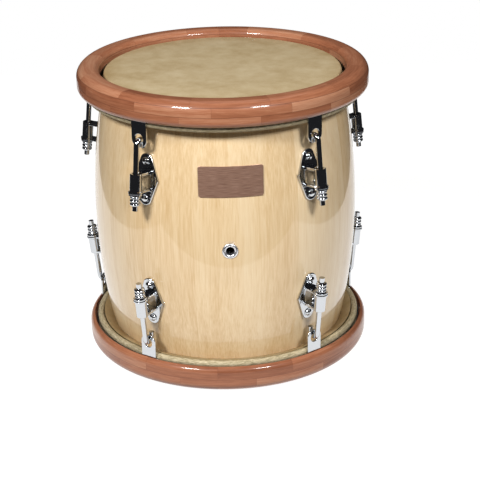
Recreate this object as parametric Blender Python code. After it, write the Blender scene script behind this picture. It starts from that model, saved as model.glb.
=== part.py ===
"""Two-headed barrel drum: a stave shell, skins on flesh hoops, wood-capped counter hoops and ten lugs.

The drum stands on its bottom rim. The axis is Z, the front is -Y, and the origin is the middle of
the drum. The two ends are alike: every end piece is drawn for the top and turned half a turn about
the front-to-back axis for the bottom. Heights called u are measured from the drum's middle plane.
"""

import math

import bmesh
import bpy
from mathutils import Matrix, Vector

MM = 0.001

# Whole drum
HEIGHT = 350.0 * MM
GAP = 0.3 * MM
SIDES = 40
LUG_COUNT = 5
FIRST_LUG_AZIMUTH = 36.0
SMOOTH_SHADING_ANGLE = 35.0
CUTTER_REACH = 36.0 * MM

# Stave shell
SHELL_END_R = 138.4 * MM
SHELL_MID_R = 158.2 * MM
SHELL_WALL = 9.0 * MM
BEARING_CHAMFER = 2.0 * MM
BEARING_BEVEL_DEPTH = 4.0 * MM
SHELL_BANDS = 6

# Wood rim
RIM_HEIGHT = 29.5 * MM
RIM_SKIRT_WALL = 5.2 * MM
RIM_CROWN_OUTER_ROUND = 9.0 * MM
RIM_CROWN_INNER_ROUND = 7.0 * MM
RIM_FOOT_ROUND = 4.5 * MM
RIM_BAND_SEAT_DEPTH = 13.0 * MM
RIM_UNDERSIDE_RECESS = 5.0 * MM

# Skin head and flesh hoop
HEAD_RECESS = 8.0 * MM
SKIN_THICKNESS = 1.4 * MM
FLESH_ROLL_R = 4.8 * MM
FLESH_CORE_SIDES = 6
ROLL_STANDOFF = 13.7 * MM

# Steel counter hoop with its claws
HOOP_STEEL = 2.4 * MM
BAND_CLEARANCE = 1.4 * MM
BAND_INSET = 0.6 * MM
BAND_FOOT_RISE = 3.2 * MM
BAND_FOOT_CHAMFER = 0.8 * MM
CLAW_WIDTH = 20.0 * MM
CLAW_LENGTH = 30.0 * MM
CLAW_CLEARANCE = 0.4 * MM
CLAW_END_ROUND = 8.0 * MM
CLAW_HOLE_R = 5.5 * MM
CLAW_HOLE_MARGIN = 4.5 * MM

# Hook rod
ROD_R = 3.2 * MM
HOOK_BEND_R = 6.0 * MM
HOOK_TIP = 4.0 * MM
HOOK_BEND_STEPS = 5
ROD_TAIL = 6.0 * MM
ROD_BORE_CLEARANCE = 1.0 * MM

# Lug bracket
LUG_DEPTH = 100.0 * MM
PLATE_THICKNESS = 3.0 * MM
PLATE_HALF_WIDTH = 16.6 * MM
PLATE_END_R = 8.5 * MM
BOLT_SPACING = 43.0 * MM
WINDOW_HALF_WIDTH = 6.6 * MM
WINDOW_CORNER = 3.3 * MM
SLEEVE_R = 6.8 * MM
SLEEVE_LENGTH = 20.0 * MM
SLEEVE_SIDES = 8
FLANGE_R = 8.3 * MM
FLANGE_THICKNESS = 2.6 * MM
WEB_THICKNESS = 3.0 * MM
WEB_HALF_WIDTH = 6.0 * MM

# Tuning nut
NUT_FLANGE_R = 7.8 * MM
NUT_FLANGE_THICKNESS = 2.0 * MM
NUT_BODY_R = 5.9 * MM
NUT_BODY_LENGTH = 12.0 * MM
NUT_END_ROUND = 1.2 * MM
NUT_SIDES = 8

# Lug bolt
BOLT_HEAD_R = 4.5 * MM
BOLT_HEAD_HEIGHT = 3.4 * MM
BOLT_SHOULDER_R = 2.9 * MM
BOLT_SHOULDER_HEIGHT = 2.6 * MM
BOLT_R = 2.5 * MM
BOLT_PROUD_INSIDE = 1.5 * MM
BOLT_SIDES = 6

# Vent grommet
VENT_U = -2.0 * MM
VENT_BORE_R = 4.9 * MM
VENT_TUBE_WALL = 1.3 * MM
VENT_FLANGE_R = 9.2 * MM
VENT_FLANGE_THICKNESS = 1.6 * MM
VENT_SIDES = 12

# Values that follow from the sizes above
HALF_HEIGHT = HEIGHT / 2
SHELL_HALF = HALF_HEIGHT - HEAD_RECESS - SKIN_THICKNESS - GAP
FACET_SCALE = math.cos(math.pi / SIDES)
BEARING_U = SHELL_HALF - BEARING_CHAMFER
FOOT_U = HALF_HEIGHT - RIM_HEIGHT
HOOP_SEAT_U = FOOT_U + RIM_UNDERSIDE_RECESS
HOOP_TOP_U = HOOP_SEAT_U - GAP
HOOP_UNDER_U = HOOP_TOP_U - HOOP_STEEL
BAND_FOOT_U = HOOP_TOP_U + BAND_FOOT_RISE
ROLL_U = HOOP_UNDER_U - GAP - FLESH_ROLL_R
LUG_U = HALF_HEIGHT - LUG_DEPTH


def shell_radius(u):
    """Outer radius of the barrel at height u."""
    return SHELL_MID_R - (SHELL_MID_R - SHELL_END_R) * (u / SHELL_HALF) ** 2


def shell_slope(u):
    """Lean of the barrel's side at height u, in radians, positive where it narrows upwards."""
    return math.atan(2 * (SHELL_MID_R - SHELL_END_R) * u / SHELL_HALF**2)


# The collar of the skin leaves the shell just above the flesh roll's middle
COLLAR_FOOT_U = ROLL_U + FLESH_ROLL_R / 2
SKIN_OFFSET = GAP + SKIN_THICKNESS / 2
BAND_IN_R = shell_radius(BAND_FOOT_U - BAND_FOOT_CHAMFER) + GAP + SKIN_THICKNESS + BAND_CLEARANCE
BAND_OUT_R = BAND_IN_R + HOOP_STEEL
ROLL_CENTRE_R = BAND_IN_R + ROLL_STANDOFF
CLAW_IN_R = ROLL_CENTRE_R + FLESH_ROLL_R + CLAW_CLEARANCE
CLAW_OUT_R = CLAW_IN_R + HOOP_STEEL
CLAW_MID_R = (CLAW_IN_R + CLAW_OUT_R) / 2
LIP_R = math.hypot(CLAW_OUT_R, CLAW_WIDTH / 2) / FACET_SCALE + GAP
RIM_INNER_R = BAND_IN_R + BAND_INSET
RIM_OUTER_R = LIP_R + RIM_SKIRT_WALL
CLAW_END_U = FOOT_U - CLAW_LENGTH
CLAW_HOLE_U = CLAW_END_U + CLAW_HOLE_MARGIN + CLAW_HOLE_R

# The hook hangs round the lower edge of the claw's hole, and its rod runs parallel to the shell
ROD_LEAN = shell_slope(LUG_U)
HOOK_INNER_R = HOOK_BEND_R - ROD_R
HOOK_CENTRE_U = (
    CLAW_HOLE_U - CLAW_HOLE_R - math.sqrt((HOOK_INNER_R - GAP) ** 2 - (HOOP_STEEL / 2) ** 2)
)
LUG_FACE_R = shell_radius(LUG_U) * FACET_SCALE
ROD_OUT = (
    (CLAW_MID_R + HOOK_BEND_R * math.cos(ROD_LEAN) - LUG_FACE_R) * math.cos(ROD_LEAN)
    + (HOOK_CENTRE_U + HOOK_BEND_R * math.sin(ROD_LEAN) - LUG_U) * math.sin(ROD_LEAN)
)
SLEEVE_TOP = SLEEVE_LENGTH / 2
FLANGE_TOP = -SLEEVE_LENGTH / 2
FLANGE_UNDER = FLANGE_TOP - FLANGE_THICKNESS
BORE_R = ROD_R + ROD_BORE_CLEARANCE
NUT_TOP = FLANGE_UNDER - GAP
NUT_LENGTH = NUT_FLANGE_THICKNESS + NUT_BODY_LENGTH
ROD_END = NUT_TOP - NUT_LENGTH - ROD_TAIL


def clear_scene():
    """Remove every object from the scene."""
    for old in list(bpy.data.objects):
        bpy.data.objects.remove(old, do_unlink=True)


def make_material(name, colour, roughness, metallic=0.0):
    """Make one Principled material."""
    material = bpy.data.materials.new(name)
    material.use_nodes = True
    shader = material.node_tree.nodes["Principled BSDF"]
    shader.inputs["Base Color"].default_value = (*colour, 1.0)
    shader.inputs["Roughness"].default_value = roughness
    shader.inputs["Metallic"].default_value = metallic
    return material


def add_object(name, mesh, material, parent, place=None):
    """Link a mesh object under its parent, shade it smooth and give it a material."""
    if not mesh.materials:
        mesh.materials.append(material)
        mesh.shade_smooth()
        mesh.set_sharp_from_angle(angle=math.radians(SMOOTH_SHADING_ANGLE))
    made = bpy.data.objects.new(name, mesh)
    bpy.context.scene.collection.objects.link(made)
    made.parent = parent
    if place is not None:
        made.matrix_basis = place
    return made


def add_empty(name, place, parent=None):
    """Add an empty that carries other pieces."""
    empty = bpy.data.objects.new(name, None)
    empty.empty_display_size = 0.03
    bpy.context.scene.collection.objects.link(empty)
    empty.parent = parent
    empty.matrix_basis = place
    return empty


def mesh_from(bm, name):
    """Turn a bmesh into a mesh with its faces pointing out."""
    bmesh.ops.recalc_face_normals(bm, faces=bm.faces)
    mesh = bpy.data.meshes.new(name)
    bm.to_mesh(mesh)
    bm.free()
    return mesh


def turned_mesh(name, outline, sides=SIDES, closed=True):
    """Spin an (r, height) outline about Z, with the middle of a flat facing the front."""
    bm = bmesh.new()
    start = Matrix.Rotation(math.pi / sides - math.pi / 2, 4, "Z")
    points = [bm.verts.new(start @ Vector((r, 0, height))) for r, height in outline]
    edges = [bm.edges.new(pair) for pair in zip(points, points[1:])]
    if closed:
        edges.append(bm.edges.new((points[-1], points[0])))
    bmesh.ops.spin(
        bm, geom=points + edges, cent=(0, 0, 0), axis=(0, 0, 1), angle=2 * math.pi,
        steps=sides, use_merge=True, use_duplicate=False,
    )
    bmesh.ops.remove_doubles(bm, verts=bm.verts, dist=1e-6)
    return mesh_from(bm, name)


def prism_mesh(name, outline, low, high, axis="Y"):
    """Extrude an (x, z) outline along Y from low to high, or an (x, y) outline along Z."""
    bm = bmesh.new()
    if axis == "Y":
        ring = [bm.verts.new((x, low, z)) for x, z in outline]
        reach = Vector((0, high - low, 0))
    else:
        ring = [bm.verts.new((x, y, low)) for x, y in outline]
        reach = Vector((0, 0, high - low))
    face = bm.faces.new(ring)
    grown = bmesh.ops.extrude_face_region(bm, geom=[face])["geom"]
    moved = [item for item in grown if isinstance(item, bmesh.types.BMVert)]
    bmesh.ops.translate(bm, verts=moved, vec=reach)
    return mesh_from(bm, name)


def arc(centre, radius, start, end, steps):
    """Points on an arc, angles in degrees, both ends included."""
    points = []
    for step in range(steps + 1):
        angle = math.radians(start + (end - start) * step / steps)
        points.append((centre[0] + radius * math.cos(angle), centre[1] + radius * math.sin(angle)))
    return points


def offset_path(points, distance):
    """Move an open path sideways, to its left for a positive distance, with mitred corners."""
    path = [Vector(point) for point in points]
    normals = []
    for first, second in zip(path, path[1:]):
        along = (second - first).normalized()
        normals.append(Vector((-along.y, along.x)))
    moved = [path[0] + normals[0] * distance]
    for point, before, after in zip(path[1:-1], normals, normals[1:]):
        middle = (before + after).normalized()
        moved.append(point + middle * distance / middle.dot(before))
    moved.append(path[-1] + normals[-1] * distance)
    return [tuple(point) for point in moved]


def boolean(target, other, operation):
    """Add an exact Boolean that takes another object as its cutter or its addition."""
    other.hide_render = True
    other.display_type = "WIRE"
    modifier = target.modifiers.new(operation.title(), "BOOLEAN")
    modifier.operation = operation
    modifier.solver = "EXACT"
    modifier.object = other


def settled_mesh(owner, helpers):
    """Read an object's mesh with its modifiers applied, then remove it and its helpers."""
    bpy.context.view_layer.update()
    graph = bpy.context.evaluated_depsgraph_get()
    mesh = bpy.data.meshes.new_from_object(owner.evaluated_get(graph), depsgraph=graph)
    for used in [owner, *helpers]:
        bpy.data.objects.remove(used, do_unlink=True)
    return mesh


def loose_object(mesh):
    """Put a mesh in the scene for a Boolean to use."""
    made = bpy.data.objects.new(mesh.name, mesh)
    bpy.context.scene.collection.objects.link(made)
    return made


def lug_azimuths():
    """Azimuths of the lugs in radians, counted from the front towards +X."""
    step = 360.0 / LUG_COUNT
    return [math.radians(FIRST_LUG_AZIMUTH + step * index) for index in range(LUG_COUNT)]


def end_turn(end):
    """Turn that carries a top piece to the given end."""
    return Matrix.Identity(4) if end == "top" else Matrix.Rotation(math.pi, 4, "Y")


def lug_place(azimuth, end):
    """Frame of one lug: Z up the shell, -Y straight out of it, origin on the shell's face."""
    spot = Matrix.Translation((0, -LUG_FACE_R, LUG_U))
    lean = Matrix.Rotation(-ROD_LEAN, 4, "X")
    return Matrix.Rotation(azimuth, 4, "Z") @ end_turn(end) @ spot @ lean


def bolt_heights():
    """Heights of the two bolts in a lug's frame."""
    return (BOLT_SPACING / 2, -BOLT_SPACING / 2)


def bolt_hole_spot(height):
    """Place of a bolt hole's cutter in a lug's frame, its corners in line with the bolt's."""
    across = Matrix.Rotation(math.pi / 2, 4, "X") @ Matrix.Rotation(math.pi / BOLT_SIDES, 4, "Z")
    return Matrix.Translation((0, 0, height)) @ across


def shell_outline():
    """Outline of the barrel: outside, bearing edge, inside and the other bearing edge."""
    outside = []
    for band in range(SHELL_BANDS + 1):
        u = BEARING_U * (2 * band / SHELL_BANDS - 1)
        outside.append((shell_radius(u), u))
    top_r = shell_radius(BEARING_U) - BEARING_CHAMFER
    inside = []
    bevel_u = SHELL_HALF - BEARING_BEVEL_DEPTH
    for band in range(SHELL_BANDS // 2 + 1):
        u = bevel_u * (1 - 4 * band / SHELL_BANDS)
        inside.append((shell_radius(u) - SHELL_WALL, u))
    return [*outside, (top_r, SHELL_HALF), *inside, (top_r, -SHELL_HALF)]


def make_shell(parent, material):
    """Barrel shell with its bolt holes and its vent hole."""
    shell = add_object("shell", turned_mesh("shell", shell_outline()), material, parent)
    bm = bmesh.new()
    for end in ("top", "bottom"):
        for azimuth in lug_azimuths():
            for height in bolt_heights():
                bmesh.ops.create_cone(
                    bm, cap_ends=True, segments=BOLT_SIDES, radius1=BOLT_R + GAP,
                    radius2=BOLT_R + GAP, depth=CUTTER_REACH,
                    matrix=lug_place(azimuth, end) @ bolt_hole_spot(height),
                )
    hole_r = VENT_BORE_R + VENT_TUBE_WALL + GAP
    spot = Matrix.Translation((0, -SHELL_MID_R, VENT_U)) @ Matrix.Rotation(math.pi / 2, 4, "X")
    bmesh.ops.create_cone(
        bm, cap_ends=True, segments=VENT_SIDES, radius1=hole_r, radius2=hole_r,
        depth=CUTTER_REACH, matrix=spot,
    )
    cutter = loose_object(mesh_from(bm, "shell_holes"))
    cutter.parent = parent
    boolean(shell, cutter, "DIFFERENCE")


def make_vent(parent, material):
    """Chrome grommet through the front of the shell."""
    face = SHELL_MID_R * FACET_SCALE + GAP
    back = SHELL_MID_R - SHELL_WALL - VENT_FLANGE_THICKNESS
    tube_r = VENT_BORE_R + VENT_TUBE_WALL
    front = face + VENT_FLANGE_THICKNESS
    outline = [
        (VENT_BORE_R, back), (tube_r, back), (tube_r, face), (VENT_FLANGE_R, face),
        (tube_r + VENT_TUBE_WALL, front), (tube_r, front),
        (VENT_BORE_R, front - VENT_FLANGE_THICKNESS / 2),
    ]
    mesh = turned_mesh("vent_grommet", outline, VENT_SIDES)
    place = Matrix.Translation((0, 0, VENT_U)) @ Matrix.Rotation(math.pi / 2, 4, "X")
    add_object("vent_grommet", mesh, material, parent, place)


def skin_centre_line():
    """Middle of the skin: over the bearing edge, down the shell and round the flesh hoop."""
    seat = [
        (0, SHELL_HALF), (shell_radius(BEARING_U) - BEARING_CHAMFER, SHELL_HALF),
        (shell_radius(BEARING_U), BEARING_U), (shell_radius(COLLAR_FOOT_U), COLLAR_FOOT_U),
    ]
    line = offset_path(seat, SKIN_OFFSET)
    turn = 360 / FLESH_CORE_SIDES
    wrap_r = FLESH_ROLL_R - SKIN_THICKNESS / 2
    wrap = arc((ROLL_CENTRE_R, ROLL_U), wrap_r, 210, 210 + 5 * turn, 5)
    return line + wrap


def make_head(end, parent, material):
    """Skin head: flat membrane, collar and the tuck rolled round the flesh hoop."""
    line = skin_centre_line()
    upper = offset_path(line, SKIN_THICKNESS / 2)
    lower = offset_path(line, -SKIN_THICKNESS / 2)
    mesh = turned_mesh(f"{end}_head", upper + lower[::-1], closed=False)
    add_object(f"{end}_head", mesh, material, parent, end_turn(end))


def make_flesh_hoop(end, parent, material):
    """Hidden hoop that the skin is rolled round."""
    core_r = FLESH_ROLL_R - SKIN_THICKNESS - GAP / math.cos(math.pi / FLESH_CORE_SIDES)
    turn = 360 / FLESH_CORE_SIDES
    outline = arc((ROLL_CENTRE_R, ROLL_U), core_r, 210, 570 - turn, FLESH_CORE_SIDES - 1)
    mesh = turned_mesh(f"{end}_flesh_hoop", outline)
    add_object(f"{end}_flesh_hoop", mesh, material, parent, end_turn(end))


def rim_outline():
    """Section of the wood rim: round crown, straight sides, and a recess for the steel hoop."""
    top = HALF_HEIGHT
    seat_r = BAND_OUT_R + GAP
    outer = arc(
        (RIM_OUTER_R - RIM_CROWN_OUTER_ROUND, top - RIM_CROWN_OUTER_ROUND),
        RIM_CROWN_OUTER_ROUND, 0, 90, 3,
    )
    inner = arc(
        (RIM_INNER_R + RIM_CROWN_INNER_ROUND, top - RIM_CROWN_INNER_ROUND),
        RIM_CROWN_INNER_ROUND, 90, 180, 2,
    )
    foot = arc(
        (RIM_OUTER_R - RIM_FOOT_ROUND, FOOT_U + RIM_FOOT_ROUND), RIM_FOOT_ROUND, -90, 0, 2,
    )
    recess = [
        (RIM_INNER_R, top - RIM_BAND_SEAT_DEPTH), (seat_r, top - RIM_BAND_SEAT_DEPTH),
        (seat_r, BAND_FOOT_U + 2 * GAP), (seat_r + HOOP_STEEL, HOOP_SEAT_U),
        (LIP_R, HOOP_SEAT_U), (LIP_R, FOOT_U),
    ]
    return outer + inner + recess + foot


def make_rim(end, parent, material):
    """Wood rim that caps the counter hoop and, at the bottom, carries the drum."""
    mesh = turned_mesh(f"{end}_wood_rim", rim_outline())
    add_object(f"{end}_wood_rim", mesh, material, parent, end_turn(end))


def hoop_outline():
    """Section of the steel counter hoop: an upright band and a flange over the flesh hoop."""
    band_top = HALF_HEIGHT - RIM_BAND_SEAT_DEPTH - GAP
    return [
        (BAND_IN_R, band_top), (BAND_IN_R, BAND_FOOT_U - BAND_FOOT_CHAMFER),
        (BAND_OUT_R + BAND_FOOT_CHAMFER, HOOP_UNDER_U), (CLAW_MID_R, HOOP_UNDER_U),
        (CLAW_MID_R, HOOP_TOP_U), (BAND_OUT_R + HOOP_STEEL, HOOP_TOP_U),
        (BAND_OUT_R, BAND_FOOT_U), (BAND_OUT_R, band_top),
    ]


def claw_outline():
    """Flat outline of one claw, from the hoop's flange down to its rounded end."""
    half = CLAW_WIDTH / 2
    corner = half - CLAW_END_ROUND
    low = CLAW_END_U + CLAW_END_ROUND
    left = arc((-corner, low), CLAW_END_ROUND, 180, 270, 3)
    right = arc((corner, low), CLAW_END_ROUND, 270, 360, 3)
    return [(-half, HOOP_TOP_U), *left, *right, (half, HOOP_TOP_U)]


def make_claw_cutter():
    """Upright cylinder along Y that opens the hook's hole in a claw."""
    bm = bmesh.new()
    spot = Matrix.Translation((0, -CLAW_MID_R, CLAW_HOLE_U)) @ Matrix.Rotation(math.pi / 2, 4, "X")
    bmesh.ops.create_cone(
        bm, cap_ends=True, segments=SLEEVE_SIDES, radius1=CLAW_HOLE_R, radius2=CLAW_HOLE_R,
        depth=CUTTER_REACH, matrix=spot,
    )
    return loose_object(mesh_from(bm, "claw_hole"))


def claw_mesh():
    """One claw with its hole, bent straight down from the hoop at the front."""
    blank = prism_mesh("claw", claw_outline(), -CLAW_OUT_R, -CLAW_IN_R)
    owner = loose_object(blank)
    cutter = make_claw_cutter()
    boolean(owner, cutter, "DIFFERENCE")
    return settled_mesh(owner, [cutter])


def make_counter_hoop(end, parent, material, claw):
    """Steel counter hoop with one claw at each lug."""
    name = f"{end}_counter_hoop"
    hoop = add_object(name, turned_mesh(name, hoop_outline()), material, parent, end_turn(end))
    bm = bmesh.new()
    for azimuth in lug_azimuths():
        copy = claw.copy()
        turned = azimuth if end == "top" else -azimuth
        copy.transform(Matrix.Rotation(turned, 4, "Z"))
        bm.from_mesh(copy)
    claws = loose_object(mesh_from(bm, f"{end}_claws"))
    claws.parent = parent
    claws.matrix_basis = end_turn(end)
    boolean(hoop, claws, "UNION")


def hook_path():
    """Middle line of the hook rod in its lug's frame, as (out, height) pairs from the tail."""
    flat_centre = Vector((CLAW_MID_R - LUG_FACE_R, HOOK_CENTRE_U - LUG_U))
    out = Vector((math.cos(ROD_LEAN), math.sin(ROD_LEAN)))
    up = Vector((-math.sin(ROD_LEAN), math.cos(ROD_LEAN)))
    centre = (flat_centre.dot(out), flat_centre.dot(up))
    tip_angle = 180 - math.degrees(ROD_LEAN)
    bend = arc(centre, HOOK_BEND_R, 0, tip_angle, HOOK_BEND_STEPS)
    last = Vector(bend[-1])
    tip = last + HOOK_TIP * Vector((-math.sin(ROD_LEAN), -math.cos(ROD_LEAN)))
    return [(ROD_OUT, ROD_END), *bend, tuple(tip)]


def hook_curve():
    """Round rod swept along the hook's path."""
    curve = bpy.data.curves.new("hook_rod", "CURVE")
    curve.dimensions = "3D"
    curve.bevel_depth = ROD_R
    curve.bevel_resolution = 1
    curve.use_fill_caps = True
    path = hook_path()
    spline = curve.splines.new("POLY")
    spline.points.add(len(path) - 1)
    for point, (out, height) in zip(spline.points, path):
        point.co = (0, -out, height, 1)
    return curve


def bracket_outline():
    """Side plate: rounded at both bolts and pointed at both sides."""
    centre = BOLT_SPACING / 2
    reach = math.hypot(PLATE_HALF_WIDTH, centre)
    swing = math.degrees(math.asin(PLATE_END_R / reach) + math.atan2(PLATE_HALF_WIDTH, centre))
    tangent = 90 - swing
    top = arc((0, centre), PLATE_END_R, tangent, 180 - tangent, 4)
    bottom = arc((0, -centre), PLATE_END_R, 180 + tangent, 360 - tangent, 4)
    return [*top, (-PLATE_HALF_WIDTH, 0), *bottom, (PLATE_HALF_WIDTH, 0)]


def web_outline():
    """Flat web between the plate and the sleeve, as (x, y)."""
    root = -GAP - PLATE_THICKNESS / 2
    return [
        (WINDOW_HALF_WIDTH + GAP, root), (-WINDOW_HALF_WIDTH - GAP, root),
        (-WEB_HALF_WIDTH, -ROD_OUT), (WEB_HALF_WIDTH, -ROD_OUT),
    ]


def sleeve_outline():
    """Section of the sleeve and its flange without the bore."""
    return [
        (0, FLANGE_UNDER), (FLANGE_R, FLANGE_UNDER), (FLANGE_R, FLANGE_TOP),
        (SLEEVE_R, FLANGE_TOP), (SLEEVE_R, SLEEVE_TOP), (0, SLEEVE_TOP),
    ]


def bracket_cutter():
    """Window behind the sleeve, two bolt holes and the rod's bore."""
    bm = bmesh.new()
    low = FLANGE_TOP
    high = SLEEVE_TOP - WEB_THICKNESS
    half = WINDOW_HALF_WIDTH
    corner = WINDOW_CORNER
    inner = half - corner
    window = [
        (-half, low + corner), (-inner, low), (inner, low), (half, low + corner),
        (half, high - corner), (inner, high), (-inner, high), (-half, high - corner),
    ]
    bm.from_mesh(prism_mesh("window", window, -GAP - 2 * PLATE_THICKNESS, PLATE_THICKNESS))
    for height in bolt_heights():
        bmesh.ops.create_cone(
            bm, cap_ends=True, segments=BOLT_SIDES, radius1=BOLT_R + GAP, radius2=BOLT_R + GAP,
            depth=CUTTER_REACH, matrix=bolt_hole_spot(height),
        )
    bore = Matrix.Translation((0, -ROD_OUT, 0))
    bmesh.ops.create_cone(
        bm, cap_ends=True, segments=SLEEVE_SIDES, radius1=BORE_R, radius2=BORE_R,
        depth=2 * CUTTER_REACH, matrix=bore,
    )
    return loose_object(mesh_from(bm, "bracket_openings"))


def bracket_mesh():
    """Side plate, two webs and the sleeve joined into one casting."""
    plate = loose_object(
        prism_mesh("lug_bracket", bracket_outline(), -GAP - PLATE_THICKNESS, -GAP)
    )
    upper = loose_object(
        prism_mesh("upper_web", web_outline(), SLEEVE_TOP - WEB_THICKNESS, SLEEVE_TOP, "Z")
    )
    lower = loose_object(prism_mesh("lower_web", web_outline(), FLANGE_UNDER, FLANGE_TOP, "Z"))
    sleeve = loose_object(turned_mesh("sleeve", sleeve_outline(), SLEEVE_SIDES, closed=False))
    sleeve.matrix_basis = Matrix.Translation((0, -ROD_OUT, 0))
    openings = bracket_cutter()
    boolean(plate, upper, "UNION")
    boolean(plate, lower, "UNION")
    boolean(plate, sleeve, "UNION")
    boolean(plate, openings, "DIFFERENCE")
    return settled_mesh(plate, [upper, lower, sleeve, openings])


def nut_mesh():
    """Tuning nut with its flange at the top and its origin on the rod's axis."""
    body_end = -NUT_LENGTH
    outline = [
        (BORE_R, 0), (NUT_FLANGE_R, 0), (NUT_FLANGE_R, -NUT_FLANGE_THICKNESS),
        (NUT_BODY_R, -NUT_FLANGE_THICKNESS), (NUT_BODY_R, body_end + NUT_END_ROUND),
        (NUT_BODY_R - NUT_END_ROUND, body_end), (BORE_R, body_end),
    ]
    return turned_mesh("tuning_nut", outline, NUT_SIDES)


def bolt_mesh():
    """Domed bolt along Z: the head above, the shank through plate and shell below."""
    shank = GAP + PLATE_THICKNESS + SHELL_WALL + BOLT_PROUD_INSIDE
    head = [
        (0, BOLT_HEAD_HEIGHT), (BOLT_SHOULDER_R, BOLT_SHOULDER_HEIGHT), (BOLT_HEAD_R, GAP),
        (BOLT_R, GAP), (BOLT_R, -shank), (0, -shank),
    ]
    return turned_mesh("lug_bolt", head, BOLT_SIDES, closed=False)


def make_lugs(end, drum, rim_body, steel, meshes):
    """All lugs of one end: bracket, bolts and nut on the drum, hook rod on the rim."""
    out_of_plate = Matrix.Rotation(math.pi / 2, 4, "X")
    for number, azimuth in enumerate(lug_azimuths(), start=1):
        place = lug_place(azimuth, end)
        station = add_empty(f"{end}_lug_{number}", place, drum)
        add_object(f"{end}_bracket_{number}", meshes["bracket"], steel, station)
        for letter, height in zip("ab", bolt_heights()):
            spot = Matrix.Translation((0, -GAP - PLATE_THICKNESS, height)) @ out_of_plate
            add_object(f"{end}_bolt_{number}{letter}", meshes["bolt"], steel, station, spot)
        nut_spot = Matrix.Translation((0, -ROD_OUT, NUT_TOP))
        add_object(f"{end}_nut_{number}", meshes["nut"], steel, station, nut_spot)
        hook = bpy.data.objects.new(f"{end}_hook_{number}", meshes["hook"])
        bpy.context.scene.collection.objects.link(hook)
        hook.parent = rim_body
        hook.matrix_basis = place


def main():
    """Build the whole drum."""
    clear_scene()
    stave_wood = make_material("lacquered_stave_wood", (0.72, 0.50, 0.27), 0.15)
    rim_wood = make_material("lacquered_rim_wood", (0.35, 0.12, 0.06), 0.2)
    rawhide = make_material("rawhide", (0.62, 0.50, 0.30), 0.6)
    steel = make_material("chromed_steel", (0.8, 0.8, 0.8), 0.08, 1.0)
    hoop_wood = make_material("plain_hoop_wood", (0.6, 0.45, 0.28), 0.7)
    middle = Matrix.Identity(4)
    drum = add_empty("drum_middle", middle)
    make_shell(drum, stave_wood)
    make_vent(drum, steel)
    claw = claw_mesh()
    hook = hook_curve()
    hook.materials.append(steel)
    meshes = {"bracket": bracket_mesh(), "nut": nut_mesh(), "bolt": bolt_mesh(), "hook": hook}
    for end in ("top", "bottom"):
        rim_body = add_empty(f"{end}_rim_slide", middle)
        make_head(end, drum, rawhide)
        make_flesh_hoop(end, drum, hoop_wood)
        make_rim(end, rim_body, rim_wood)
        make_counter_hoop(end, rim_body, steel, claw)
        make_lugs(end, drum, rim_body, steel, meshes)


main()
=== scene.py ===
"""Looks of a two-headed barrel drum: lacquered staves, laminated rims, rawhide heads, chrome lugs.

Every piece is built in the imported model's own frame: metres, Z up the drum's axis, -Y the front
and the origin in the drum's middle. End pieces are drawn for the top and turned for the bottom.
"""

from __future__ import annotations

import logging
from dataclasses import dataclass
from enum import Enum
from math import acos, asin, atan, atan2, cos, degrees, hypot, pi, radians, sin, sqrt, tau

import bmesh
import bpy
from mathutils import Matrix, Vector


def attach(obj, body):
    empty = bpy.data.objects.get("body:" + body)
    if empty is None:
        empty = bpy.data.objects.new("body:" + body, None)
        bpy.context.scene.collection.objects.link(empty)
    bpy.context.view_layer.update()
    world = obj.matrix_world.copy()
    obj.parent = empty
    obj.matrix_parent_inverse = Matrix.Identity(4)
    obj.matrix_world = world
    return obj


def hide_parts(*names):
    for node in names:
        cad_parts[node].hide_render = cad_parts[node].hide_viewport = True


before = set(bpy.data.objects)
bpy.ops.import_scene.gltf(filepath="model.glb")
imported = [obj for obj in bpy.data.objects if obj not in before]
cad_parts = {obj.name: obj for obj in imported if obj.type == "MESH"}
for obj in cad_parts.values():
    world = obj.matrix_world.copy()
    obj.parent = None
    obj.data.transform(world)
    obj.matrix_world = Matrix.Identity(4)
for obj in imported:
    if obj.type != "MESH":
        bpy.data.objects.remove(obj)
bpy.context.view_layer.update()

LOG = logging.getLogger("drum")
MM = 0.001
DRUM = "drum"
WELD = 1e-7  # metres
SHARP_ANGLE = 40.0  # degrees
Pair = tuple[float, float]
Triple = tuple[float, float, float]
Outline = list[Pair]
Colour = tuple[float, float, float, float]
Socket = bpy.types.NodeSocket
Tree = bpy.types.NodeTree
Node = bpy.types.Node
Material = bpy.types.Material
Piece = bpy.types.Object
Solid = bmesh.types.BMesh


class End(Enum):
    """The two ends of the drum."""

    TOP = "top"
    BOTTOM = "bottom"

    def turn(self) -> Matrix:
        """Give the turn that carries a top piece to this end.

        Returns:
            Nothing for the top, half a turn for the bottom.
        """
        return Matrix.Identity(4) if self is End.TOP else Matrix.Rotation(pi, 4, "Y")

    def rim(self) -> str:
        """Name the body of this end's rim.

        Returns:
            The body's name.
        """
        return f"{self.value}_rim"


# The lip of the bottom rim reaches further over its skin, which shows a slimmer roll
ROLL_SLACK = {End.TOP: 0.0, End.BOTTOM: 0.9 * MM}
FOOT_REACH = {End.TOP: 0.0, End.BOTTOM: 2.5 * MM}


class Slot(Enum):
    """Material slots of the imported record."""

    STAVES = "stave_wood"
    RIM = "rim_wood"
    HIDE = "rawhide"
    CHROME = "chrome"


def linear(code: str) -> Colour:
    """Turn an sRGB hex colour to linear.

    Args:
        code: Colour such as "#d8b27a".

    Returns:
        The linear colour.
    """
    channels = []
    for start in (1, 3, 5):
        value = int(code[start : start + 2], 16) / 255
        channels.append(value / 12.92 if value <= 0.04045 else ((value + 0.055) / 1.055) ** 2.4)
    return (*channels, 1.0)


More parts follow.
